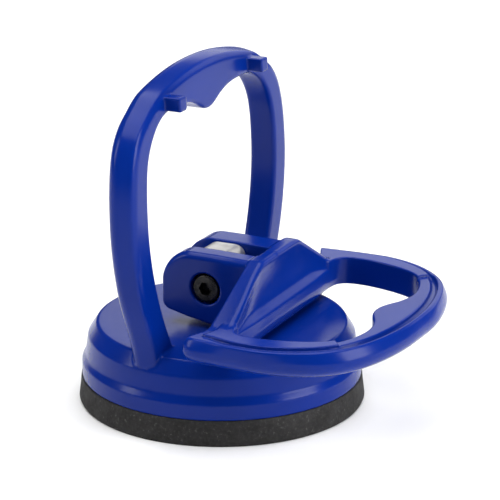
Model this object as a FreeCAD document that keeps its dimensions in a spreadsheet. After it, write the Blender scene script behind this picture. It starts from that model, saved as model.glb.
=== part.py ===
import FreeCAD, Part
import math
import os
import Sketcher
from FreeCAD import Placement, Rotation, Vector

# One-cup cam-lever suction lifter. Millimetres, +Z up. The origin is on the cup's axis at the level its lip rests on.
# +X is the way the lying lever points, and the pivot screw runs along Y. Everything is symmetric about the XZ plane
# except the screw's head and its nut.

doc = FreeCAD.newDocument("suction_lifter")

# ---------------------------------------------------------------- driving dimensions
SIZES = [
    ("cup_radius", 28.0, "outside radius of the rubber cup"),
    ("cup_height", 5.0, "height of the cup's rim"),
    ("cup_lip", 3.2, "width of the flat lip that seals"),
    ("cup_dish", 1.5, "depth of the dish under the cup"),
    ("flange_radius", 27.5, "radius of the housing's bottom flange"),
    ("flange_top", 7.7, "top of that flange"),
    ("wall_foot_radius", 26.85, "foot of the drafted wall"),
    ("wall_foot_z", 9.0, "height of that foot"),
    ("lip_radius", 26.2, "top of the drafted wall"),
    ("lip_z", 13.0, "height of the wall's top"),
    ("top_radius", 24.5, "radius of the flat top face"),
    ("top_z", 15.7, "height of the flat top face"),
    ("ceiling_z", 12.4, "underside of the top plate"),
    ("skirt_inner", 22.6, "inside radius of the skirt"),
    ("boss_inner", 5.2, "radius of the nut well under the top plate"),
    ("boss_outer", 7.4, "outside radius of the guide boss"),
    ("rib_bottom", 9.9, "underside of the boss and the ribs"),
    ("rib_width", 1.8, "thickness of a rib"),
    ("guide_radius", 2.57, "bore that guides the stud"),
    ("ring_thick", 5.75, "thickness of the fixed ring, front to back"),
    ("ring_lean", 1.85, "backward lean of the fixed ring, degrees"),
    ("ring_plane", -0.1, "where the ring's front plane meets z = 0"),
    ("ring_top", 67.9, "top of the fixed ring"),
    ("ring_half", 33.55, "greatest half width of the fixed ring"),
    ("peg_length", 3.1, "how far the two stop pegs stand out"),
    ("peg_inner", 16.0, "inner side of a stop peg"),
    ("peg_outer", 18.8, "outer side of a stop peg"),
    ("peg_low", 61.5, "underside of a stop peg"),
    ("peg_high", 64.1, "top of a stop peg"),
    ("pin_z", 23.8, "height of the pivot axis with the lever down"),
    ("land_z", 22.95, "height of the lever ring's upper face"),
    ("lever_thick", 5.7, "thickness of the lever ring"),
    ("lever_tip", 43.1, "reach of the lever ring from the pivot axis"),
    ("lever_half", 31.35, "greatest half width of the lever ring"),
    ("bar_back", 8.7, "cross bar's face towards the pivot"),
    ("bar_front", 13.4, "cross bar's face towards the window, at its foot"),
    ("bar_top_front", 12.0, "the same face at the top"),
    ("bar_low", 16.2, "underside of the cross bar"),
    ("hump_z", 30.6, "top of the hump"),
    ("hump_near", 6.8, "from the middle to the end of the hump's top, screw's side"),
    ("hump_far", 9.4, "the same on the nut's side"),
    ("hump_foot", 22.2, "half width where the hump meets the ring"),
    ("ear_near", 7.3, "outer face of the ear on the screw's side"),
    ("ear_far", 9.4, "outer face of the thicker ear on the nut's side"),
    ("slot_half", 2.8, "half width of the slot between the ears"),
    ("slot_end", 9.3, "end of that slot"),
    ("cam_back", 9.3, "pivot axis to the cam's flat"),
    ("cam_low", 19.0, "lower corner of the cam's flat"),
    ("cam_round", 2.5, "radius of that corner"),
    ("ear_top", 30.75, "top of the ears"),
    ("ear_round", 6.0, "radius of the ears' upper corner"),
    ("bore_radius", 1.6, "screw holes in the ears"),
    ("sink_radius", 3.2, "counterbore for the screw's head"),
    ("sink_floor", 4.1, "counterbore's floor, from the middle"),
    ("pocket_floor", 4.9, "nut pocket's floor, from the middle"),
    ("relief", 0.4, "how far the lever's curved end lies below its land"),
    ("screw_radius", 1.5, "M3 screw"),
    ("screw_length", 12.0, "length under the head"),
    ("head_radius", 2.75, "M3 socket head"),
    ("head_height", 3.0, "M3 socket head"),
    ("hex_key", 2.5, "socket, across the flats"),
    ("hex_depth", 1.6, "depth of the socket"),
    ("nut_flats", 5.5, "M3 nut, across the flats"),
    ("nut_height", 1.8, "M3 thin nut"),
    ("eye_radius", 4.1, "half width of the stud's eye"),
    ("eye_top", 30.4, "top of the eye"),
    ("eye_crown", 2.3, "radius of its two upper corners"),
    ("eye_half", 2.6, "half thickness of the stud's eye"),
    ("eye_bore", 1.56, "bore of the eye, a running fit on the screw"),
    ("stud_radius", 2.5, "M5 shank"),
    ("stud_low", 5.2, "lower end of the shank"),
    ("plate_radius", 13.0, "backing plate"),
    ("plate_thick", 1.2, "backing plate"),
    ("jam_flats", 8.0, "M5 thin nut, across the flats"),
    ("jam_height", 2.7, "M5 thin nut"),
]
sheet = doc.addObject("Spreadsheet::Sheet", "dims")
for row, (alias, value, note) in enumerate(SIZES, start=1):
    sheet.set("A%d" % row, alias)
    sheet.set("B%d" % row, str(value))
    sheet.set("C%d" % row, note)
    sheet.setAlias("B%d" % row, alias)
doc.recompute()


class Size:
    """A number from the sheet together with the expression that gives it, so that sums of sizes stay bound."""

    def __init__(self, value, text):
        self.value, self.text = float(value), text

    def __add__(self, other):
        other = size(other)
        return Size(self.value + other.value, "(%s + %s)" % (self.text, other.text))

    def __sub__(self, other):
        other = size(other)
        return Size(self.value - other.value, "(%s - %s)" % (self.text, other.text))

    def __mul__(self, other):
        other = size(other)
        return Size(self.value * other.value, "(%s * %s)" % (self.text, other.text))

    def __neg__(self):
        return Size(-self.value, "(0 - %s)" % self.text)


def size(v):
    return v if isinstance(v, Size) else Size(v, repr(float(v)))


def d(alias):
    return Size(getattr(sheet, alias), "dims." + alias)


def body(label):
    b = doc.addObject("PartDesign::Body", label)
    b.Label = label
    return b


def plane(b, role):
    return [f for f in b.Origin.OriginFeatures if f.Role == role][0]


def sketch(b, name, role, height=0.0, tilt=None):
    """A sketch on one of the body's own origin planes, moved along its normal by height."""
    s = b.newObject("Sketcher::SketchObject", name)
    s.AttachmentSupport = [(plane(b, role), "")]
    s.MapMode = "FlatFace"
    h = size(height)
    s.AttachmentOffset = Placement(Vector(0, 0, h.value), Rotation())
    if isinstance(height, Size):
        s.setExpression("AttachmentOffset.Base.z", h.text)
    if tilt is not None:
        s.AttachmentOffset = Placement(Vector(0, 0, h.value), Rotation(Vector(1, 0, 0), -tilt.value))
        s.setExpression("AttachmentOffset.Rotation.Angle", tilt.text)
        s.AttachmentOffset.Rotation.Axis = Vector(-1, 0, 0)
        s.AttachmentOffset = Placement(Vector(0, 0, h.value), Rotation(Vector(-1, 0, 0), tilt.value))
    return s


def place(s, geo, pos, x, y):
    """Ties one point of a sketch to the origin by two sizes."""
    x, y = size(x), size(y)
    for kind, v, axis in (("DistanceX", x, -2), ("DistanceY", y, -1)):
        if abs(v.value) < 1e-9 and v.text == "0.0":
            s.addConstraint(Sketcher.Constraint("PointOnObject", geo, pos, axis))
        else:
            i = s.addConstraint(Sketcher.Constraint(kind, -1, 1, geo, pos, v.value))
            if "dims." in v.text:
                s.setExpression("Constraints[%d]" % i, v.text)


def polygon(s, points):
    """A closed run of straight lines through the points, every corner bound to its sizes."""
    n = len(points)
    xy = [(size(x), size(y)) for x, y in points]
    first = s.GeometryCount
    for i in range(n):
        a, b = xy[i], xy[(i + 1) % n]
        s.addGeometry(Part.LineSegment(Vector(a[0].value, a[1].value, 0), Vector(b[0].value, b[1].value, 0)), False)
    for i in range(n):
        s.addConstraint(Sketcher.Constraint("Coincident", first + i, 2, first + (i + 1) % n, 1))
    for i in range(n):
        place(s, first + i, 1, *xy[i])


def circle(s, x, y, radius):
    r = size(radius)
    g = s.addGeometry(Part.Circle(Vector(size(x).value, size(y).value, 0), Vector(0, 0, 1), r.value), False)
    place(s, g, 3, x, y)
    i = s.addConstraint(Sketcher.Constraint("Radius", g, r.value))
    if "dims." in r.text:
        s.setExpression("Constraints[%d]" % i, r.text)


def hexagon(s, x, y, flats):
    f = size(flats)
    polygon(s, [(size(x) + f * (0.5 * math.cos(math.radians(a)) / math.cos(math.radians(30))),
                 size(y) + f * (0.5 * math.sin(math.radians(a)) / math.cos(math.radians(30)))) for a in range(0, 360, 60)])


def feature(b, kind, name, **props):
    f = b.newObject("PartDesign::" + kind, name)
    for k, v in props.items():
        if isinstance(v, Size):
            setattr(f, k, v.value)
            f.setExpression(k, v.text)
        else:
            setattr(f, k, v)
    doc.recompute()
    if f.Shape.isNull() or not f.Shape.isValid():
        raise RuntimeError("feature %s of %s came out empty or invalid" % (name, b.Label))
    return f


def cut(b, kind, name, **props):
    """A pocket or groove, which has to take something away."""
    before = b.Shape.Volume
    f = feature(b, kind, name, **props)
    if b.Shape.Volume > before - 1e-3:
        raise RuntimeError("%s of %s removes nothing" % (name, b.Label))
    return f


def revolve(b, name, s):
    return feature(b, "Revolution", name, Profile=s, ReferenceAxis=(s, ["V_Axis"]), Angle=360.0)


def edges_where(f, test):
    out = []
    for i, e in enumerate(f.Shape.Edges, start=1):
        try:
            p = e.valueAt(0.5 * (e.FirstParameter + e.LastParameter))
        except Exception:
            continue
        if test(e, p):
            out.append("Edge%d" % i)
    return out


def fillet(b, name, f, radius, test):
    found = edges_where(f, test)
    if not found:
        raise RuntimeError("no edge for %s of %s" % (name, b.Label))
    return feature(b, "Fillet", name, Base=(f, found), Radius=radius)


def pattern(b, name, f, count):
    p = b.newObject("PartDesign::PolarPattern", name)
    p.Originals = [f]
    p.Axis = (plane(b, "Z_Axis"), [""])
    p.Angle = 360.0
    p.Occurrences = count
    b.Tip = p
    doc.recompute()
    return p


# ---------------------------------------------------------------- housing with the fixed ring
housing = body("base_housing")
s = sketch(housing, "housing_profile", "XZ_Plane")
polygon(s, [
    (d("guide_radius"), d("top_z")),
    (d("top_radius"), d("top_z")),
    (d("lip_radius"), d("lip_z")),
    (d("wall_foot_radius"), d("wall_foot_z")),
    (d("flange_radius"), d("flange_top")),
    (d("flange_radius"), d("cup_height")),
    (d("skirt_inner"), d("cup_height")),
    (d("skirt_inner"), d("ceiling_z")),
    (d("boss_outer"), d("ceiling_z")),
    (d("boss_outer"), d("rib_bottom")),
    (d("boss_inner"), d("rib_bottom")),
    (d("boss_inner"), d("ceiling_z")),
    (d("guide_radius"), d("ceiling_z")),
])
f = revolve(housing, "housing_turned", s)
f = fillet(housing, "shoulder_edge", f, 0.8,
           lambda e, p: e.Curve.TypeId == "Part::GeomCircle" and abs(e.Curve.Radius - d("top_radius").value) < 1e-3
           and abs(p.z - d("top_z").value) < 1e-3)

s = sketch(housing, "rib_outline", "XY_Plane", d("rib_bottom"))
polygon(s, [
    (d("boss_outer") - 0.5, -d("rib_width") * 0.5),
    (d("skirt_inner") + 0.5, -d("rib_width") * 0.5),
    (d("skirt_inner") + 0.5, d("rib_width") * 0.5),
    (d("boss_outer") - 0.5, d("rib_width") * 0.5),
])
rib = feature(housing, "Pad", "rib", Profile=s, Length=d("ceiling_z") - d("rib_bottom") + 0.4)
pattern(housing, "six_ribs", rib, 6)

# The ring's front plane leans back. Its outline is a smooth closed horseshoe that ends inside the top plate.
kw = d("ring_half").value / 33.55
kh = (d("ring_top").value - 15.0) / (67.9 - 15.0)


def ring_point(w, z):
    return (w * kw, 15.0 + (z - 15.0) * kh)


OUTER = [(26.4, 15.0), (28.05, 19.95), (30.2, 25.0), (31.84, 30.05), (32.9, 35.05), (33.49, 40.0), (33.55, 44.0),
         (33.27, 48.45), (32.52, 53.0), (30.82, 57.4), (27.9, 60.77), (24.74, 62.82), (21.52, 64.63), (17.5, 65.87),
         (12.34, 66.85), (6.47, 67.58), (0.0, 67.9)]
INNER = [(18.4, 15.0), (20.7, 19.5), (22.6, 23.6), (24.27, 28.05), (25.46, 32.07), (26.4, 36.54), (26.9, 41.01),
         (26.94, 45.47), (26.63, 49.95), (25.52, 54.2), (23.15, 57.66), (20.64, 59.7), (17.56, 60.8), (14.01, 61.02),
         (10.41, 60.9), (7.13, 60.4), (4.16, 59.3), (2.03, 58.3), (0.0, 57.95)]


def mirrored(points):
    """Points of one half, running to the axis, followed by the other half running away from it."""
    return [Vector(x, y, 0) for x, y in points] + [Vector(-x, y, 0) for x, y in reversed(points[:-1])]


s = sketch(housing, "ring_outline", "YZ_Plane", d("ring_plane"), tilt=d("ring_lean"))
outer = Part.BSplineCurve()
outer.interpolate(Points=mirrored([ring_point(*p) for p in OUTER]))
inner = Part.BSplineCurve()
inner.interpolate(Points=mirrored([ring_point(*p) for p in INNER]))
g0 = s.addGeometry(outer, False)
g1 = s.addGeometry(inner, False)
a, b = ring_point(*OUTER[0]), ring_point(*INNER[0])
g2 = s.addGeometry(Part.LineSegment(Vector(a[0], a[1], 0), Vector(b[0], b[1], 0)), False)
g3 = s.addGeometry(Part.LineSegment(Vector(-b[0], b[1], 0), Vector(-a[0], a[1], 0)), False)
s.addConstraint(Sketcher.Constraint("Coincident", g0, 1, g2, 1))
s.addConstraint(Sketcher.Constraint("Coincident", g2, 2, g1, 1))
s.addConstraint(Sketcher.Constraint("Coincident", g1, 2, g3, 1))
s.addConstraint(Sketcher.Constraint("Coincident", g3, 2, g0, 2))
ring = feature(housing, "Pad", "fixed_ring", Profile=s, Length=d("ring_thick"), Reversed=True)

lean = math.radians(d("ring_lean").value)


def ring_depth(p):
    """Distance of a point behind the ring's front plane."""
    return -((p.x - d("ring_plane").value) * math.cos(lean) + p.z * math.sin(lean))


def ring_edge(depth, low, high):
    def test(e, p):
        if p.z < 30.0 or abs(ring_depth(p) - depth) > 0.02 or e.Length < 60.0:
            return False
        return low < p.z < high
    return test


t = d("ring_thick").value
ring = fillet(housing, "ring_back_outer", ring, 2.5, ring_edge(t, 64.0, 70.0))
ring = fillet(housing, "ring_back_inner", ring, 1.2, ring_edge(t, 50.0, 62.0))
ring = fillet(housing, "ring_front_outer", ring, 1.5, ring_edge(0.0, 64.0, 70.0))

for side, sign in (("left", 1.0), ("right", -1.0)):
    s = sketch(housing, "peg_outline_" + side, "YZ_Plane", d("ring_plane") - 1.0, tilt=d("ring_lean"))
    y0, y1 = d("peg_inner") * sign, d("peg_outer") * sign
    polygon(s, [(y0, d("peg_low")), (y1, d("peg_low")), (y1, d("peg_high")), (y0, d("peg_high"))])
    feature(housing, "Pad", "stop_peg_" + side, Profile=s, Length=d("peg_length") + 1.0)

# ---------------------------------------------------------------- lever: ring, cross bar and cam ears in one moulding
lever = body("cam_lever_handle")
kl = d("lever_tip").value / 43.1
kv = d("lever_half").value / 31.35
L_OUTER = [(8.7, 0.0), (8.7, 8.0), (8.7, 16.0), (8.4, 21.0), (7.75, 24.5), (7.6, 27.0), (8.6, 29.3), (11.0, 30.5),
           (14.5, 31.1), (18.0, 31.35), (21.5, 31.3), (25.4, 30.65), (30.1, 29.1), (34.3, 26.6), (37.6, 23.0), (40.3, 17.6),
           (42.0, 11.4), (42.85, 5.5), (43.1, 0.0)]
L_INNER = [(13.4, 0.0), (13.4, 10.0), (13.5, 18.0), (13.8, 22.0), (15.1, 24.6), (18.2, 25.4), (21.3, 25.15), (24.4, 24.5),
           (27.4, 23.55), (30.3, 22.2), (32.6, 20.4), (34.05, 18.0), (35.05, 15.0), (35.55, 12.0), (35.4, 9.0), (34.5, 6.0),
           (33.3, 3.6), (32.65, 1.8), (32.45, 0.0)]


def lever_loop(half):
    """A closed smooth outline from the points of one half, which starts and ends on the axis."""
    up = [Vector(x * kl, y * kv, 0) for x, y in half]
    c = Part.BSplineCurve()
    c.interpolate(Points=up + [Vector(v.x, -v.y, 0) for v in reversed(up[1:-1])], PeriodicFlag=True)
    return c


s = sketch(lever, "lever_ring_outline", "XY_Plane", d("land_z"))
s.addGeometry(lever_loop(L_OUTER), False)
s.addGeometry(lever_loop(L_INNER), False)
f = feature(lever, "Pad", "lever_ring", Profile=s, Length=d("lever_thick"), Reversed=True)
low = d("land_z").value - d("lever_thick").value
f = fillet(lever, "lever_ring_under", f, 2.0,
           lambda e, p: abs(p.z - low) < 0.02 and p.x > 41.0 and e.Length > 60.0)
f = fillet(lever, "lever_ring_under_inner", f, 1.4,
           lambda e, p: abs(p.z - low) < 0.02 and p.x < 41.0 and e.Length > 60.0)

# The curved end lies a little lower than the land, so that the stop pegs clear it when the lever stands up.
s = sketch(lever, "end_relief_outline", "XY_Plane", d("land_z") + 1.0)
polygon(s, [(31.6, -18.5), (35.6, -23.3), (45.0, -34.0), (48.0, -34.0), (48.0, 34.0), (45.0, 34.0), (35.6, 23.3), (31.6, 18.5)])
cut(lever, "Pocket", "end_relief", Profile=s, Length=d("relief") + 1.0)

s = sketch(lever, "hump_outline", "YZ_Plane", d("bar_back"))
polygon(s, [
    (d("hump_far"), d("hump_z")),
    (-d("hump_near"), d("hump_z")),
    (-d("hump_foot"), d("land_z")),
    (-d("hump_foot"), d("land_z") - d("lever_thick") + 0.6),
    (-d("hump_foot") + 3.0, d("bar_low")),
    (d("hump_foot") - 3.0, d("bar_low")),
    (d("hump_foot"), d("land_z") - d("lever_thick") + 0.6),
    (d("hump_foot"), d("land_z")),
])
feature(lever, "Pad", "cross_bar", Profile=s, Length=d("bar_front") - d("bar_back"))

s = sketch(lever, "ear_outline", "XZ_Plane", -d("ear_far"))
polygon(s, [
    (-d("cam_back"), d("cam_low")),
    (-3.9, 17.6),
    (2.0, 16.6),
    (d("slot_end") + 1.0, d("bar_low")),
    (d("slot_end") + 1.0, d("hump_z")),
    (d("bar_back"), d("hump_z")),
    (3.1, d("ear_top")),
    (-d("cam_back"), d("ear_top")),
])
f = feature(lever, "Pad", "ears", Profile=s, Length=d("ear_near") + d("ear_far"))
f = fillet(lever, "ear_corner", f, d("ear_round"),
           lambda e, p: abs(p.x + d("cam_back").value) < 1e-3 and abs(p.z - d("ear_top").value) < 1e-3)
f = fillet(lever, "cam_corner", f, d("cam_round"),
           lambda e, p: abs(p.x + d("cam_back").value) < 1e-3 and abs(p.z - d("cam_low").value) < 1e-3)

s = sketch(lever, "ear_slot", "XY_Plane", 35.0)
polygon(s, [
    (-12.0, -d("slot_half")),
    (d("slot_end"), -d("slot_half")),
    (d("slot_end"), d("slot_half")),
    (-12.0, d("slot_half")),
])
cut(lever, "Pocket", "slot_for_stud", Profile=s, Length=25.0)

s = sketch(lever, "bar_rake", "XZ_Plane")
polygon(s, [
    (d("bar_top_front"), d("hump_z")),
    (d("bar_front") + 0.02, d("land_z") - 3.0),
    (d("bar_front") + 2.0, d("land_z") - 3.0),
    (d("bar_front") + 2.0, d("hump_z") + 2.0),
    (d("bar_top_front"), d("hump_z") + 2.0),
])
cut(lever, "Pocket", "bar_front_rake", Profile=s, Length=20.0, Midplane=True)

s = sketch(lever, "screw_hole", "XZ_Plane")
circle(s, 0.0, d("pin_z"), d("bore_radius"))
cut(lever, "Pocket", "screw_bore", Profile=s, Length=30.0, Midplane=True)
s = sketch(lever, "head_sink_outline", "XZ_Plane", d("sink_floor"))
circle(s, 0.0, d("pin_z"), d("sink_radius"))
cut(lever, "Pocket", "head_sink", Profile=s, Length=10.0, Reversed=True)
s = sketch(lever, "nut_pocket_outline", "XZ_Plane", -d("pocket_floor"))
hexagon(s, 0.0, d("pin_z"), d("nut_flats") + 0.2)
cut(lever, "Pocket", "nut_pocket", Profile=s, Length=10.0)

# ---------------------------------------------------------------- rubber cup
cup = body("suction_cup")
s = sketch(cup, "cup_profile", "XZ_Plane")
polygon(s, [
    (0.0, d("cup_height")),
    (d("cup_radius"), d("cup_height")),
    (d("cup_radius") + 0.15, 0.6),
    (d("cup_radius") - 0.3, 0.0),
    (d("cup_radius") - d("cup_lip"), 0.0),
    (d("cup_radius") - d("cup_lip") - 3.5, d("cup_dish") * 0.75),
    (0.0, d("cup_dish")),
])
revolve(cup, "cup_turned", s)

# ---------------------------------------------------------------- steel backing plate
plate = body("cup_backing_plate")
s = sketch(plate, "plate_profile", "XZ_Plane")
polygon(s, [
    (d("stud_radius"), d("cup_height")),
    (d("plate_radius"), d("cup_height")),
    (d("plate_radius"), d("cup_height") + d("plate_thick")),
    (d("stud_radius"), d("cup_height") + d("plate_thick")),
])
revolve(plate, "plate_turned", s)

# ---------------------------------------------------------------- eye stud
stud = body("lift_stud")
s = sketch(stud, "shank_profile", "XZ_Plane")
polygon(s, [
    (0.0, d("pin_z") - 3.0),
    (d("stud_radius"), d("pin_z") - 3.0),
    (d("stud_radius"), d("stud_low") + 0.4),
    (d("stud_radius") - 0.4, d("stud_low")),
    (0.0, d("stud_low")),
])
revolve(stud, "shank", s)
s = sketch(stud, "eye_outline", "XZ_Plane")
polygon(s, [
    (d("eye_radius"), d("eye_top")),
    (-d("eye_radius"), d("eye_top")),
    (-d("eye_radius"), d("pin_z") - 3.0),
    (-2.0, d("pin_z") - 5.1),
    (2.0, d("pin_z") - 5.1),
    (d("eye_radius"), d("pin_z") - 3.0),
])
f = feature(stud, "Pad", "eye", Profile=s, Length=d("eye_half") * 2.0, Midplane=True)
f = fillet(stud, "eye_crown", f, d("eye_crown"),
           lambda e, p: abs(p.y) < 0.01 and abs(abs(p.x) - d("eye_radius").value) < 1e-3
           and abs(p.z - d("eye_top").value) < 1e-3)
fillet(stud, "eye_edges", f, 0.4,
       lambda e, p: abs(abs(p.y) - d("eye_half").value) < 1e-3 and abs(p.z - d("eye_top").value) < 1e-3 and e.Length > 2.0)
s = sketch(stud, "eye_hole", "XZ_Plane")
circle(s, 0.0, d("pin_z"), d("eye_bore"))
cut(stud, "Pocket", "eye_drilled", Profile=s, Length=20.0, Midplane=True)

# ---------------------------------------------------------------- stud's jam nut
jam = body("stud_nut")
s = sketch(jam, "jam_outline", "XY_Plane", d("cup_height") + d("plate_thick"))
hexagon(s, 0.0, 0.0, d("jam_flats"))
circle(s, 0.0, 0.0, d("stud_radius"))
feature(jam, "Pad", "jam_blank", Profile=s, Length=d("jam_height"))

# ---------------------------------------------------------------- pivot screw, head towards -Y
screw = body("pivot_screw")
s = sketch(screw, "head_outline", "XZ_Plane", d("sink_floor"))
circle(s, 0.0, d("pin_z"), d("head_radius"))
f = feature(screw, "Pad", "head", Profile=s, Length=d("head_height"))
s = sketch(screw, "shank_outline", "XZ_Plane", d("sink_floor") + 0.5)
circle(s, 0.0, d("pin_z"), d("screw_radius"))
feature(screw, "Pad", "screw_shank", Profile=s, Length=d("screw_length") + 0.5, Reversed=True)
s = sketch(screw, "key_outline", "XZ_Plane", d("sink_floor") + d("head_height"))
hexagon(s, 0.0, d("pin_z"), d("hex_key"))
f = cut(screw, "Pocket", "key_socket", Profile=s, Length=d("hex_depth"))
fillet(screw, "head_edge", f, 0.45,
       lambda e, p: e.Curve.TypeId == "Part::GeomCircle" and abs(e.Curve.Radius - d("head_radius").value) < 1e-3
       and p.y < -(d("sink_floor").value + 1.0))

# ---------------------------------------------------------------- nut in the far ear
nut = body("pivot_nut")
s = sketch(nut, "nut_outline", "XZ_Plane", -d("pocket_floor"))
hexagon(s, 0.0, d("pin_z"), d("nut_flats"))
circle(s, 0.0, d("pin_z"), d("screw_radius"))
feature(nut, "Pad", "nut_blank", Profile=s, Length=d("nut_height"), Reversed=True)

# ---------------------------------------------------------------- checks and files
doc.recompute()
for o in doc.Objects:
    if "Invalid" in o.State or "Error" in o.State:
        raise RuntimeError("%s is in state %s" % (o.Label, o.State))
SUBPARTS = [housing, lever, cup, plate, stud, jam, screw, nut]
for b in SUBPARTS:
    if b.Shape.isNull() or not b.Shape.isValid() or len(b.Shape.Solids) != 1:
        raise RuntimeError("%s is not one valid solid" % b.Label)
os.makedirs("parts", exist_ok=True)
for b in SUBPARTS:
    b.Shape.exportStep(os.path.join("parts", b.Label + ".step"))
    box = b.Shape.BoundBox
    print("%-20s %9.1f mm3  x %6.2f..%6.2f  y %6.2f..%6.2f  z %6.2f..%6.2f" % (
        b.Label, b.Shape.Volume, box.XMin, box.XMax, box.YMin, box.YMax, box.ZMin, box.ZMax))
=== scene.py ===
import math

import bpy
import numpy as np
from mathutils import Matrix, Vector


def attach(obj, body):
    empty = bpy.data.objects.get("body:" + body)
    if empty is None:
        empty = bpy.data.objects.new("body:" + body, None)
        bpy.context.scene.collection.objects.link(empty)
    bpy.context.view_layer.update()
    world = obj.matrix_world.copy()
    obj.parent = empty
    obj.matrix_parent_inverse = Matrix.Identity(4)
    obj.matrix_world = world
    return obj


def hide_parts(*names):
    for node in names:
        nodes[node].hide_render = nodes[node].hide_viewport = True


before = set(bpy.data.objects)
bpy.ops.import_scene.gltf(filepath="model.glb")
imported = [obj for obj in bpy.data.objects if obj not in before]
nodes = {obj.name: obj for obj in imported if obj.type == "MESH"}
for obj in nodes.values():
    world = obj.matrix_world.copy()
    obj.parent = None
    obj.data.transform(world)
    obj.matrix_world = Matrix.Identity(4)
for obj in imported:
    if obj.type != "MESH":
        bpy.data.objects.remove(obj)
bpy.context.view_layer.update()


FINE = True
MM = 0.001

# ------------------------------------------------------------------ distance fields, in millimetres


def smin(a, b, k):
    h = np.clip(0.5 + 0.5 * (b - a) / k, 0.0, 1.0)
    return b * (1 - h) + a * h - k * h * (1 - h)


def smax(a, b, k):
    return -smin(-a, -b, k)


def both(a, b, r):
    """Intersection with an edge rounded to radius r."""
    u = np.maximum(a + r, 0.0)
    v = np.maximum(b + r, 0.0)
    return np.minimum(np.maximum(a, b), -r) + np.sqrt(u * u + v * v)


def either(a, b, r):
    """Union with a fillet of radius r."""
    return -both(-a, -b, r)


def ramp(x, a, b):
    t = np.clip((x - a) / (b - a), 0.0, 1.0)
    return t * t * (3 - 2 * t)


def smooth_loop(points, step=0.2):
    """Closed C2 curve through the points, as a dense polyline."""
    p = np.array(points, float)
    n = len(p)
    seg = np.linalg.norm(np.roll(p, -1, 0) - p, axis=1)
    h = seg ** 0.75
    m = np.zeros((n, n))
    rhs = np.zeros((n, 2))
    for i in range(n):
        a, b = h[i - 1], h[i]
        m[i, i - 1] += b
        m[i, i] += 2 * (a + b)
        m[i, (i + 1) % n] += a
        rhs[i] = 3 * (b * (p[i] - p[i - 1]) / a + a * (p[(i + 1) % n] - p[i]) / b)
    d = np.linalg.solve(m, rhs)
    out = []
    for i in range(n):
        j = (i + 1) % n
        k = max(2, int(math.ceil(seg[i] / step)))
        t = (np.arange(k) / k)[:, None]
        c = h[i]
        out.append(
            (2 * t**3 - 3 * t**2 + 1) * p[i]
            + (t**3 - 2 * t**2 + t) * c * d[i]
            + (-2 * t**3 + 3 * t**2) * p[j]
            + (t**3 - t**2) * c * d[j]
        )
    return np.concatenate(out)


def rounded_polygon(points):
    """Closed polygon of (x, y, corner radius), as a polyline with arcs at its corners."""
    p = np.array([q[:2] for q in points], float)
    out = []
    n = len(p)
    for i, q in enumerate(points):
        r = q[2]
        a = p[i - 1] - p[i]
        b = p[(i + 1) % n] - p[i]
        a /= np.linalg.norm(a)
        b /= np.linalg.norm(b)
        if r <= 0:
            out.append(p[i])
            continue
        half = 0.5 * math.acos(np.clip(a @ b, -1, 1))
        cut = r / math.tan(half)
        mid = (a + b) / np.linalg.norm(a + b)
        c = p[i] + mid * (r / math.sin(half))
        s, e = p[i] + a * cut - c, p[i] + b * cut - c
        a0 = math.atan2(s[1], s[0])
        turn = math.atan2(e[1], e[0]) - a0
        turn = (turn + math.pi) % (2 * math.pi) - math.pi
        k = max(3, int(abs(turn) * r / 0.08) + 3)
        for t in np.linspace(0, 1, k):
            out.append(c + r * np.array([math.cos(a0 + turn * t), math.sin(a0 + turn * t)]))
    return np.array(out)


class Flat:
    """Signed distance to a closed polyline, tabulated and read back with a smooth cubic."""

    def __init__(self, loop, h, margin=4.0):
        a = np.asarray(loop, float)
        b = np.roll(a, -1, 0)
        keep = np.linalg.norm(b - a, axis=1) > 1e-9
        a, b = a[keep], b[keep]
        self.h = h
        self.lo = a.min(0) - margin
        self.n = np.ceil((a.max(0) + margin - self.lo) / h).astype(int) + 1
        gx = self.lo[0] + h * np.arange(self.n[0])
        gy = self.lo[1] + h * np.arange(self.n[1])
        g = np.stack(np.meshgrid(gx, gy, indexing="ij"), -1).reshape(-1, 2)
        out = np.empty(len(g))
        e = b - a
        ee = (e * e).sum(1)
        for i in range(0, len(g), 1500):
            q = g[i:i + 1500, None, :]
            w = q - a[None]
            t = np.clip((w * e[None]).sum(2) / ee[None], 0, 1)
            d = w - t[..., None] * e[None]
            dist = np.sqrt((d * d).sum(2).min(1))
            up = (a[None, :, 1] <= q[..., 1]) & (b[None, :, 1] > q[..., 1])
            down = (a[None, :, 1] > q[..., 1]) & (b[None, :, 1] <= q[..., 1])
            side = e[None, :, 0] * w[..., 1] - e[None, :, 1] * w[..., 0]
            wind = (up & (side > 0)).sum(1) - (down & (side < 0)).sum(1)
            out[i:i + 1500] = np.where(wind != 0, -dist, dist)
        self.t = out.reshape(self.n[0], self.n[1])

    def __call__(self, x, y):
        u = np.clip((x - self.lo[0]) / self.h, 1.0, self.n[0] - 3.001)
        v = np.clip((y - self.lo[1]) / self.h, 1.0, self.n[1] - 3.001)
        i = u.astype(int)
        j = v.astype(int)
        fu = u - i
        fv = v - j

        def weights(f):
            return (
                ((-0.5 * f + 1.0) * f - 0.5) * f,
                (1.5 * f - 2.5) * f * f + 1.0,
                ((-1.5 * f + 2.0) * f + 0.5) * f,
                (0.5 * f - 0.5) * f * f,
            )

        wu, wv = weights(fu), weights(fv)
        total = 0.0
        for a in range(4):
            row = 0.0
            for c in range(4):
                row = row + wv[c] * self.t[i + a - 1, j + c - 1]
            total = total + wu[a] * row
        # outside the table, the distance keeps growing
        ox = np.maximum(np.abs(x - (self.lo[0] + self.h * (self.n[0] - 1) / 2)) - self.h * (self.n[0] - 5) / 2, 0)
        oy = np.maximum(np.abs(y - (self.lo[1] + self.h * (self.n[1] - 1) / 2)) - self.h * (self.n[1] - 5) / 2, 0)
        return total + np.hypot(ox, oy)


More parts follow.
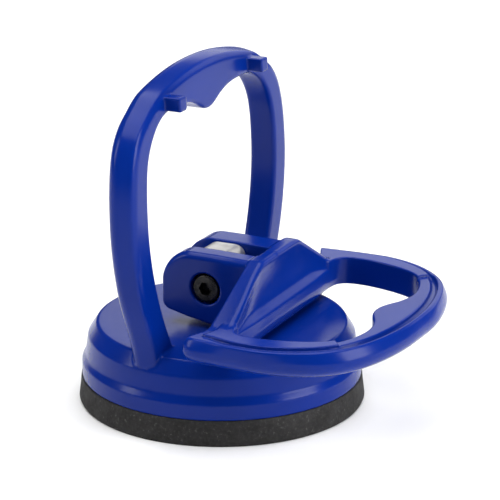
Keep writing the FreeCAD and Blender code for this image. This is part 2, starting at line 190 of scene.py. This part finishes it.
EDGE = np.array([[0, 1], [2, 3], [4, 5], [6, 7], [0, 2], [1, 3], [4, 6], [5, 7], [0, 4], [1, 5], [2, 6], [3, 7]])
CORNER = np.array([[(c >> 0) & 1, (c >> 1) & 1, (c >> 2) & 1] for c in range(8)])


def net(field, lo, hi, h, slack=1.6):
    """Vertices and quads of the surface where field is zero, found on a grid and moved onto the surface."""
    block = 8
    lo = np.array(lo, float)
    nb = np.ceil((np.array(hi, float) - lo) / (h * block)).astype(int)
    n = nb * block
    half = h * block / 2
    cb = np.stack(np.meshgrid(*[np.arange(k) for k in nb], indexing="ij"), -1).reshape(-1, 3)
    centre = lo + (cb * block) * h + half
    d = field(*centre.T)
    near = np.abs(d) < half * math.sqrt(3) * slack
    grid = np.empty(tuple(n), np.float32)
    coarse = np.where(d < 0, -9.0, 9.0).astype(np.float32).reshape(tuple(nb))
    grid[:] = np.repeat(np.repeat(np.repeat(coarse, block, 0), block, 1), block, 2)
    off = np.stack(np.meshgrid(*[np.arange(block)] * 3, indexing="ij"), -1).reshape(-1, 3)
    todo = cb[near] * block
    for s in range(0, len(todo), 1200):
        idx = (todo[s:s + 1200, None, :] + off[None]).reshape(-1, 3)
        p = lo + idx * h
        grid[idx[:, 0], idx[:, 1], idx[:, 2]] = field(*p.T)
    inside = grid < 0
    count = np.zeros(tuple(k - 1 for k in n), np.int8)
    for c in CORNER:
        count += inside[c[0]:n[0] - 1 + c[0], c[1]:n[1] - 1 + c[1], c[2]:n[2] - 1 + c[2]]
    mixed = (count > 0) & (count < 8)
    cells = np.argwhere(mixed)
    number = np.full(mixed.shape, -1, np.int64)
    number[mixed] = np.arange(len(cells))
    vals = np.stack([grid[cells[:, 0] + c[0], cells[:, 1] + c[1], cells[:, 2] + c[2]] for c in CORNER], 1).astype(float)
    total = np.zeros((len(cells), 3))
    hits = np.zeros(len(cells))
    for a, b in EDGE:
        va, vb = vals[:, a], vals[:, b]
        cross = (va < 0) != (vb < 0)
        t = np.where(cross, va / np.where(cross, va - vb, 1.0), 0.0)
        q = CORNER[a] + t[:, None] * (CORNER[b] - CORNER[a])
        total += np.where(cross[:, None], q, 0.0)
        hits += cross
    v = lo + (cells + total / hits[:, None]) * h
    quads = []
    for axis in range(3):
        sl_a = [slice(None)] * 3
        sl_b = [slice(None)] * 3
        sl_a[axis] = slice(0, n[axis] - 1)
        sl_b[axis] = slice(1, n[axis])
        a_in = inside[tuple(sl_a)]
        b_in = inside[tuple(sl_b)]
        e = np.argwhere(a_in != b_in)
        o1, o2 = (axis + 1) % 3, (axis + 2) % 3
        ok = (e[:, o1] > 0) & (e[:, o2] > 0) & (e[:, o1] < n[o1] - 1) & (e[:, o2] < n[o2] - 1)
        e = e[ok]
        flip = a_in[tuple(e.T)]
        corners = []
        for d1, d2 in ((-1, -1), (0, -1), (0, 0), (-1, 0)):
            c = e.copy()
            c[:, o1] += d1
            c[:, o2] += d2
            corners.append(number[c[:, 0], c[:, 1], c[:, 2]])
        q = np.stack(corners, 1)
        q[~flip] = q[~flip][:, ::-1]
        quads.append(q)
    quads = np.concatenate(quads)
    eps = 0.03
    for _ in range(3):
        f0 = field(*v.T)
        g = np.stack([
            field(v[:, 0] + eps, v[:, 1], v[:, 2]) - field(v[:, 0] - eps, v[:, 1], v[:, 2]),
            field(v[:, 0], v[:, 1] + eps, v[:, 2]) - field(v[:, 0], v[:, 1] - eps, v[:, 2]),
            field(v[:, 0], v[:, 1], v[:, 2] + eps) - field(v[:, 0], v[:, 1], v[:, 2] - eps),
        ], 1) / (2 * eps)
        gg = np.maximum((g * g).sum(1), 0.2)
        step = -(f0 / gg)[:, None] * g
        size = np.linalg.norm(step, axis=1)
        step *= np.minimum(1.0, 0.4 * h / np.maximum(size, 1e-9))[:, None]
        v = v + step
    return v, quads


def mesh_object(name, verts, faces, material, smooth_angle=None):
    me = bpy.data.meshes.new(name)
    me.vertices.add(len(verts))
    me.vertices.foreach_set("co", (np.asarray(verts, float) * MM).astype(np.float32).ravel())
    faces = np.asarray(faces)
    k = faces.shape[1]
    me.loops.add(faces.size)
    me.loops.foreach_set("vertex_index", faces.astype(np.int32).ravel())
    me.polygons.add(len(faces))
    me.polygons.foreach_set("loop_start", np.arange(0, faces.size, k, dtype=np.int32))
    me.update(calc_edges=True)
    me.validate()
    me.polygons.foreach_set("use_smooth", np.ones(len(me.polygons), bool))
    me.materials.append(material)
    o = bpy.data.objects.new(name, me)
    bpy.context.scene.collection.objects.link(o)
    return o


# ------------------------------------------------------------------ materials


def new_material(name):
    m = bpy.data.materials.new(name)
    m.use_nodes = True
    t = m.node_tree
    bsdf = next(n for n in t.nodes if n.type == "BSDF_PRINCIPLED")
    return m, t, bsdf


def noise(t, scale, detail=3.0, rough=0.5, dims=None, stretch=None):
    co = t.nodes.new("ShaderNodeTexCoord")
    n = t.nodes.new("ShaderNodeTexNoise")
    n.inputs["Scale"].default_value = scale
    n.inputs["Detail"].default_value = detail
    n.inputs["Roughness"].default_value = rough
    if stretch:
        mp = t.nodes.new("ShaderNodeMapping")
        mp.inputs["Scale"].default_value = stretch
        t.links.new(co.outputs["Object"], mp.inputs["Vector"])
        t.links.new(mp.outputs["Vector"], n.inputs["Vector"])
    else:
        t.links.new(co.outputs["Object"], n.inputs["Vector"])
    return n.outputs["Fac"]


def ranged(t, fac, lo, hi, a, b):
    r = t.nodes.new("ShaderNodeMapRange")
    r.inputs["From Min"].default_value = lo
    r.inputs["From Max"].default_value = hi
    r.inputs["To Min"].default_value = a
    r.inputs["To Max"].default_value = b
    t.links.new(fac, r.inputs["Value"])
    return r.outputs["Result"]


def colours(t, fac, stops):
    r = t.nodes.new("ShaderNodeValToRGB")
    e = r.color_ramp.elements
    while len(e) < len(stops):
        e.new(0.5)
    for k, (pos, col) in enumerate(stops):
        e[k].position = pos
        e[k].color = (*col, 1.0)
    t.links.new(fac, r.inputs["Fac"])
    return r.outputs["Color"]


def bump(t, bsdf, layers):
    """layers: (height socket, distance in metres, strength), chained."""
    last = None
    for height, dist, strength in layers:
        b = t.nodes.new("ShaderNodeBump")
        b.inputs["Distance"].default_value = dist
        b.inputs["Strength"].default_value = strength
        t.links.new(height, b.inputs["Height"])
        if last is not None:
            t.links.new(last, b.inputs["Normal"])
        last = b.outputs["Normal"]
    t.links.new(last, bsdf.inputs["Normal"])


def blue_plastic():
    m, t, s = new_material("blue_plastic")
    broad = noise(t, 38.0, 2.0)
    t.links.new(colours(t, broad, [(0.30, (0.0004, 0.0170, 0.195)), (0.72, (0.0009, 0.0210, 0.235))]), s.inputs["Base Color"])
    s.inputs["Specular IOR Level"].default_value = 0.16
    s.inputs["IOR"].default_value = 1.5
    t.links.new(ranged(t, noise(t, 900.0, 4.0, 0.6), 0.25, 0.8, 0.17, 0.27), s.inputs["Roughness"])
    s.inputs["Subsurface Weight"].default_value = 0.0
    bump(t, s, [(noise(t, 110.0, 2.0), 0.0004, 0.07), (noise(t, 1900.0, 2.0), 0.00003, 0.10)])
    return m


def rubber():
    m, t, s = new_material("black_rubber")
    speck = noise(t, 1500.0, 5.0, 0.75)
    t.links.new(colours(t, speck, [(0.40, (0.010, 0.0095, 0.0095)), (0.60, (0.020, 0.019, 0.019)), (0.70, (0.085, 0.082, 0.078))]), s.inputs["Base Color"])
    t.links.new(ranged(t, noise(t, 400.0, 3.0), 0.3, 0.7, 0.62, 0.85), s.inputs["Roughness"])
    s.inputs["Specular IOR Level"].default_value = 0.35
    bump(t, s, [(speck, 0.00012, 0.5), (noise(t, 160.0, 2.0), 0.0004, 0.2)])
    return m


def zinc():
    m, t, s = new_material("cast_zinc")
    fine = noise(t, 1400.0, 5.0, 0.7)
    t.links.new(colours(t, noise(t, 260.0, 4.0, 0.6), [(0.3, (0.60, 0.585, 0.56)), (0.7, (0.86, 0.85, 0.83))]), s.inputs["Base Color"])
    s.inputs["Metallic"].default_value = 1.0
    t.links.new(ranged(t, fine, 0.3, 0.7, 0.30, 0.48), s.inputs["Roughness"])
    bump(t, s, [(noise(t, 220.0, 3.0), 0.0003, 0.35), (fine, 0.00008, 0.5)])
    return m


def plated():
    m, t, s = new_material("plated_steel")
    fine = noise(t, 900.0, 4.0, 0.6, stretch=(1.0, 1.0, 0.15))
    t.links.new(colours(t, noise(t, 180.0, 3.0), [(0.3, (0.52, 0.53, 0.54)), (0.7, (0.72, 0.72, 0.71))]), s.inputs["Base Color"])
    s.inputs["Metallic"].default_value = 1.0
    t.links.new(ranged(t, fine, 0.3, 0.7, 0.22, 0.40), s.inputs["Roughness"])
    bump(t, s, [(fine, 0.00006, 0.4)])
    return m


def black_steel():
    m, t, s = new_material("black_oxide")
    fine = noise(t, 1200.0, 4.0, 0.65)
    t.links.new(colours(t, noise(t, 500.0, 3.0), [(0.35, (0.012, 0.012, 0.013)), (0.7, (0.045, 0.043, 0.040))]), s.inputs["Base Color"])
    s.inputs["Metallic"].default_value = 0.85
    t.links.new(ranged(t, fine, 0.3, 0.7, 0.22, 0.42), s.inputs["Roughness"])
    bump(t, s, [(fine, 0.00005, 0.4)])
    return m


def floor_material():
    m, t, s = new_material("pale_floor")
    t.links.new(colours(t, noise(t, 6.0, 2.0), [(0.3, (0.90, 0.90, 0.90)), (0.7, (0.93, 0.93, 0.93))]), s.inputs["Base Color"])
    t.links.new(ranged(t, noise(t, 60.0, 3.0), 0.3, 0.7, 0.75, 0.9), s.inputs["Roughness"])
    s.inputs["Specular IOR Level"].default_value = 0.2
    bump(t, s, [(noise(t, 300.0, 2.0), 0.0001, 0.1)])
    return m


BLUE, RUBBER, ZINC, PLATED, BLACK = blue_plastic(), rubber(), zinc(), plated(), black_steel()

# ------------------------------------------------------------------ shapes of the two mouldings

PIN_Z = 23.8


def closed(points, extra=()):
    """Half outline that ends on the axis, followed by its mirror image; extra closes it at the far end."""
    half = list(extra) + [tuple(p) for p in points]
    return half + [(-x, y) for x, y in reversed(half) if abs(x) > 1e-9]


def across(points):
    """The same for an outline given as (x, y) that starts and ends on y = 0."""
    return [tuple(p) for p in points] + [(x, -y) for x, y in reversed(points) if abs(y) > 1e-9]


R_OUTER = [(26.4, 15.0), (28.05, 19.95), (30.2, 25.0), (31.84, 30.05), (32.9, 35.05), (33.49, 40.0), (33.55, 44.0),
           (33.27, 48.45), (32.52, 53.0), (30.82, 57.4), (27.9, 60.77), (24.74, 62.82), (21.52, 64.63), (17.5, 65.87),
           (12.34, 66.85), (6.47, 67.58), (0.0, 67.82)]
R_INNER = [(18.4, 15.0), (20.7, 19.5), (22.6, 23.6), (24.27, 28.05), (25.46, 32.07), (26.4, 36.54), (26.9, 41.01),
           (26.94, 45.47), (26.63, 49.95), (25.52, 54.2), (23.15, 57.66), (20.64, 59.7), (17.56, 60.8), (14.01, 61.02),
           (10.41, 60.9), (7.13, 60.4), (4.16, 59.3), (2.03, 58.3), (0.0, 57.95)]
L_OUTER = [(8.7, 0.0), (8.7, 8.0), (8.7, 16.0), (8.45, 21.5), (7.6, 25.0), (6.5, 27.9), (6.6, 29.9), (8.7, 30.9),
           (12.0, 31.0), (15.0, 31.2), (18.0, 31.3), (21.5, 31.25), (25.4, 30.6), (30.1, 29.05), (34.3, 26.55), (37.6, 22.95),
           (40.25, 17.6), (41.95, 11.4), (42.8, 5.5), (43.02, 0.0)]
L_INNER = [(13.4, 0.0), (13.4, 10.0), (13.5, 18.0), (13.8, 22.0), (15.1, 24.6), (18.2, 25.4), (21.3, 25.15), (24.4, 24.5),
           (27.4, 23.55), (30.3, 22.2), (32.6, 20.4), (34.05, 18.0), (35.05, 15.0), (35.55, 12.0), (35.4, 9.0), (34.5, 6.0),
           (33.3, 3.6), (32.65, 1.8), (32.45, 0.0)]

ring_outer = Flat(smooth_loop(closed(R_OUTER, [(10.0, 5.0), (20.0, 6.0), (24.6, 9.5)])), 0.4)
ring_inner = Flat(smooth_loop(closed(R_INNER, [(6.0, 6.0), (13.0, 7.5), (16.4, 10.8)])), 0.4)
lever_outer = Flat(smooth_loop(across(L_OUTER)), 0.4)
lever_inner = Flat(smooth_loop(across(L_INNER)), 0.4)

# the ring's front face, x against z
FACE_Z = np.array([10.0, 18.0, 28.0, 38.0, 46.0, 52.0, 58.0, 62.0, 68.0, 74.0])
FACE_X = np.array([-0.7, -1.0, -1.3, -1.6, -1.8, -2.05, -2.45, -2.8, -3.3, -3.9]) + 0.25 + 0.40 * (FACE_Z - 18.0) / 48.0
FACE = np.polyfit(FACE_Z, FACE_X, 4)

turned = Flat(rounded_polygon([
    (2.57, 15.7, 0.0), (24.45, 15.7, 0.55), (26.18, 13.0, 0.7), (26.75, 9.3, 1.2), (27.45, 8.0, 0.45), (27.45, 5.0, 0.25),
    (22.6, 5.0, 0.2), (22.6, 12.4, 0.5), (7.4, 12.4, 0.4), (7.4, 9.9, 0.3), (5.2, 9.9, 0.3), (5.2, 12.4, 0.3), (2.57, 12.4, 0.0),
]), 0.12, 2.0)


def ring_section(u, v, w, thick, r_out, r_in):
    """u is the distance outside the outer outline, v inside the inner one, w the depth behind the front face."""
    s1 = -w * math.cos(math.radians(24.0)) + (u + 1.75) * math.sin(math.radians(24.0))
    a = math.atan2(0.65, 2.0)
    s2 = (u + 0.65) * math.cos(a) - (w - 0.5) * math.sin(a)
    outer = both(smax(u, s2, 0.8), s1, 0.22)
    back = w - thick
    s = np.maximum(both(outer, back, r_out), both(v, back, r_in))
    return np.maximum(s, np.maximum(both(outer, -w, 0.2), both(v, -w, 0.8)))


def housing_field(x, y, z):
    ay = np.abs(y)
    w = np.polyval(FACE, z) - x
    u = ring_outer(y, z)
    v = -ring_inner(y + 0.9 * np.exp(-(y / 6.0) ** 2) * ramp(z, 54.0, 58.0), z)
    ring = ring_section(u, v, w, 5.75, 2.6, 1.1)
    ring = np.maximum(ring, 13.6 - z)
    r = np.sqrt(x * x + y * y)
    base = turned(r, z)
    # six ribs under the top plate
    ang = np.arctan2(y, x)
    k = np.round(ang / (math.pi / 3)) * (math.pi / 3)
    rx = x * np.cos(k) + y * np.sin(k)
    ry = -x * np.sin(k) + y * np.cos(k)
    rib = np.maximum(np.maximum(np.abs(ry) - 0.9, np.maximum(6.9 - rx, rx - 23.1)), np.maximum(9.9 - z, z - 12.8))
    base = either(base, rib, 0.3)
    d = either(ring, base, 0.5)
    # two pegs on the ring's face
    py = np.abs(ay - 17.4) - 1.4
    pz = np.abs(z - 62.8) - 1.3
    tip = -w - 3.2
    peg = np.maximum(both(both(py, pz, 0.2), tip, 0.2), w - 1.5)
    return either(d, peg, 0.12)


EAR = Flat(rounded_polygon([
    (-9.3, 18.9, 2.0), (-9.3, 30.65, 6.0), (1.4, 30.65, 1.5), (9.2, 30.45, 0.0), (11.0, 30.45, 0.0), (11.0, 16.2, 0.0),
    (3.2, 16.4, 1.5), (-3.9, 17.6, 1.2),
][::-1]), 0.15, 3.0)


def lever_field(x, y, z):
    ay = np.abs(y)
    far = y > 0.0
    u = lever_outer(x, y)
    v = -lever_inner(x, y)
    # ring with a thin rim, its flank almost upright and its underside rounded off broadly
    top = 22.5
    w = top - z
    nose = (1.0 - ramp(x, 9.0, 17.0)) * np.where(far, 0.0, 1.0)
    ur = np.where(far, both(u, 9.5 - x, 1.5), u)
    ur = ur - 0.38 * ramp(x, 33.0, 40.0) * ramp(y, -2.0, 8.0)
    wide = ramp(x, 22.0, 36.0)
    bev = 0.35 + 0.75 * nose + 1.0 * wide
    a = np.arctan2(bev, 1.5 + 0.9 * wide)
    slope = (ur + bev) * np.cos(a) - w * np.sin(a)
    outer = smax(ur, slope, 1.2)
    under = 17.25 - z
    ring = np.maximum(both(outer, under, 3.5), both(v, under, 0.5))
    ring = np.maximum(ring, np.maximum(both(outer, -w, 0.25), both(v, -w, 0.5)))
    # raised land along the straight sides, and the groove that sets the rim apart all the way round
    end = (x - 33.2) * 0.768 - (ay - 20.4) * 0.640
    gu = -1.75 - 1.1 * nose - 0.9 * wide
    land = np.maximum(both(both(u - gu + 0.32, v, 0.25), end, 0.15), 20.0 - z)
    land = both(land, z - 22.95, 0.18)
    ring = np.minimum(ring, land)
    groove = np.sqrt((u - gu) ** 2 + (z - top - 0.07 + 0.25 * ramp(end, -1.0, 1.0)) ** 2) - (0.42 + 0.25 * ramp(end, -1.0, 1.0)) * ramp(x, 9.5, 14.5)
    ring = both(ring, -groove, 0.10)
    # under the hump the bar keeps only a low ledge
    bar = np.maximum(np.maximum(x - 15.0, ay - 20.8), 21.2 - z)
    ring = both(ring, -bar, 0.4)
    # cross bar, rising to the hump in the middle; the thicker ear makes its far shoulder longer
    flat = np.where(far, 10.2, 6.6)
    fall = np.where(far, 0.640, 0.481)
    rise = 0.5 * (ay - flat + np.sqrt((ay - flat) ** 2 + 1.0))
    height = np.where(far, 30.85, 30.7) - fall * rise
    top_d = (z - height) * np.where(ay > flat, np.where(far, 0.842, 0.901), 1.0)
    sy = np.where(far, ay - 9.3, ay - 6.6)
    xr = 12.1 + 1.2 * ramp(sy, 0.0, 14.5)
    drop = np.clip((height - z) / np.maximum(height - 18.3, 0.5), 0.0, 1.0)
    xb = 14.3 - 0.4 * ramp(ay, 8.0, 20.0)
    scoop = 1.0 * np.sin(math.pi * np.minimum(drop * 1.1, 1.0)) * (1.0 - 0.7 * ramp(ay, 9.0, 21.0)) * ramp(height - 18.3, 2.0, 8.0)
    front = x - (xr + (xb - xr) * drop - scoop)
    front = front * 0.93
    side = ay - 26.0
    hump = both(top_d, front, 0.9)
    hump = both(hump, (x - 12.2) * 0.723 - (z - 16.2) * 0.690, 0.4)
    hump = both(hump, 8.85 - x, 0.5)
    hump = both(hump, 16.2 - z, 0.9)
    hump = np.maximum(hump, np.maximum(side, u + 0.3))
    d = either(ring, hump, 0.7 + 1.0 * (1.0 - ramp(ay, 14.0, 21.0)) * ramp(x, 10.0, 12.0))
    # the two ears
    prof = EAR(x, z)
    edge = 0.45 + 0.9 * ramp(z, 24.0, 29.5)
    ear = both(prof, np.where(far, ay - 9.4, ay - 7.3), edge)
    d = either(d, ear, 0.35)
    # slot for the stud's eye, counterbore, nut pocket and bore
    slot = np.maximum(np.where(far, ay - 2.9, ay - 2.8), x - 9.3)
    d = both(d, -slot, 0.25)
    rr = np.hypot(x, z - PIN_Z)
    sink = np.maximum(rr - 3.2, 4.1 + y)
    d = both(d, -sink, 0.15)
    dz = z - PIN_Z
    hexa = np.maximum(np.maximum(np.abs(dz), np.abs(0.5 * dz + 0.8660254 * x)), np.abs(0.5 * dz - 0.8660254 * x)) - 2.85
    pocket = np.maximum(hexa, 4.9 - y)
    d = both(d, -pocket, 0.12)
    return np.maximum(d, 1.56 - rr)


H1 = 0.30 if FINE else 0.45
H2 = 0.26 if FINE else 0.42
v, q = net(housing_field, (-28.3, -35.2, 3.6), (28.3, 35.2, 70.0), H1)
housing = mesh_object("housing_moulding", v, q, BLUE)
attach(housing, "housing")
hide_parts("base_housing")

v, q = net(lever_field, (-10.6, -32.6, 14.8), (44.2, 32.6, 32.0), H2)
lever = mesh_object("lever_moulding", v, q, BLUE)
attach(lever, "lever")
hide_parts("cam_lever_handle")

# ------------------------------------------------------------------ rubber cup, turned about its axis


def lathe(name, profile, material, steps=192):
    """Closed solid of revolution from an (r, z) profile that starts and ends on the axis."""
    prof = [p for p in profile]
    verts, faces = [], []
    top = len(verts)
    verts.append((0.0, 0.0, prof[0][1]))
    ang = np.linspace(0, 2 * math.pi, steps, endpoint=False)
    rings = []
    for r, z in prof[1:-1]:
        rings.append(len(verts))
        verts += [(r * math.cos(t), r * math.sin(t), z) for t in ang]
    last = len(verts)
    verts.append((0.0, 0.0, prof[-1][1]))
    me = bpy.data.meshes.new(name)
    for i in range(steps):
        j = (i + 1) % steps
        faces.append((top, rings[0] + i, rings[0] + j))
        for a, b in zip(rings[:-1], rings[1:]):
            faces.append((a + i, b + i, b + j, a + j))
        faces.append((rings[-1] + i, last, rings[-1] + j))
    me.from_pydata([(x * MM, y * MM, z * MM) for x, y, z in verts], [], faces)
    me.validate()
    me.polygons.foreach_set("use_smooth", np.ones(len(me.polygons), bool))
    me.materials.append(material)
    o = bpy.data.objects.new(name, me)
    bpy.context.scene.collection.objects.link(o)
    return o


cup_loop = rounded_polygon([
    (27.6, 5.0, 0.35), (27.85, 2.6, 3.0), (28.12, 0.6, 0.25), (27.85, 0.0, 0.12), (24.6, 0.0, 0.3), (21.1, 1.15, 2.0),
    (0.0, 1.5, 0.0), (0.0, 4.6, 0.0), (22.0, 4.6, 0.4), (22.4, 5.0, 0.0)])
# start on the axis at the top, run out over the rim and back to the axis underneath
order = [tuple(p) for p in cup_loop]
axis_top = next(i for i, p in enumerate(order) if abs(p[0]) < 1e-9 and p[1] > 3)
order = order[axis_top:] + order[:axis_top]
cup = lathe("rubber_cup", order, RUBBER)
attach(cup, "housing")
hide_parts("suction_cup")

# ------------------------------------------------------------------ carried-over hardware
for name, mat in (("cup_backing_plate", PLATED), ("lift_stud", ZINC), ("stud_nut", PLATED), ("pivot_screw", BLACK), ("pivot_nut", PLATED)):
    me = nodes[name].data
    me.materials.clear()
    me.materials.append(mat)

# ------------------------------------------------------------------ floor, light and camera


def plane(name, size, z):
    k = 24
    g = np.linspace(-size / 2, size / 2, k + 1)
    verts = [(x, y, z) for x in g for y in g]
    faces = [(i * (k + 1) + j, (i + 1) * (k + 1) + j, (i + 1) * (k + 1) + j + 1, i * (k + 1) + j + 1) for i in range(k) for j in range(k)]
    me = bpy.data.meshes.new(name)
    me.from_pydata(verts, [], faces)
    o = bpy.data.objects.new(name, me)
    bpy.context.scene.collection.objects.link(o)
    return o


floor = plane("floor", 6000, 0.0)
floor.scale = (MM, MM, MM)
floor.data.materials.append(floor_material())


def softbox(name, place, aim, size, power, colour=(1, 1, 1)):
    li = bpy.data.lights.new(name, "AREA")
    li.shape = "RECTANGLE"
    li.size, li.size_y = size
    li.energy = power
    li.color = colour
    o = bpy.data.objects.new(name, li)
    o.location = place
    o.rotation_euler = (Vector(aim) - Vector(place)).to_track_quat("-Z", "Y").to_euler()
    bpy.context.scene.collection.objects.link(o)
    return o


softbox("overhead", (0.00, 0.05, 1.10), (0.0, 0.0, 0.02), (1.3, 1.3), 20.0)
softbox("left", (-0.85, -0.60, 0.55), (0.0, 0.0, 0.03), (0.30, 0.60), 3.5)
softbox("right", (1.00, 0.05, 0.40), (0.0, 0.0, 0.03), (0.55, 0.60), 8.5)
softbox("back", (0.02, 1.15, 0.42), (0.0, 0.0, 0.03), (1.50, 0.42), 2.7)

world = bpy.data.worlds.new("studio")
bpy.context.scene.world = world
world.use_nodes = True
bg = world.node_tree.nodes.get("Background") or world.node_tree.nodes.new("ShaderNodeBackground")
bg.inputs["Color"].default_value = (1, 1, 1, 1)
bg.inputs["Strength"].default_value = 0.08

bpy.context.scene.view_settings.view_transform = "Standard"

a, e = math.radians(25.6537), math.radians(17.9702)
F = Vector((-math.sin(a) * math.cos(e), math.cos(a) * math.cos(e), -math.sin(e)))
R = Vector((math.cos(a), math.sin(a), 0.0))
U = R.cross(F)
place = Vector((0.18906, -0.38092, 0.16752))
cam_data = bpy.data.cameras.new("camera")
cam_data.sensor_width = 36.0
cam_data.lens = 165.96
cam_data.clip_start = 0.02
cam_data.clip_end = 20.0
cam = bpy.data.objects.new("camera", cam_data)
cam.matrix_world = Matrix(((R.x, U.x, -F.x, place.x), (R.y, U.y, -F.y, place.y), (R.z, U.z, -F.z, place.z), (0, 0, 0, 1)))
bpy.context.scene.collection.objects.link(cam)
bpy.context.scene.camera = cam

bpy.context.view_layer.update()
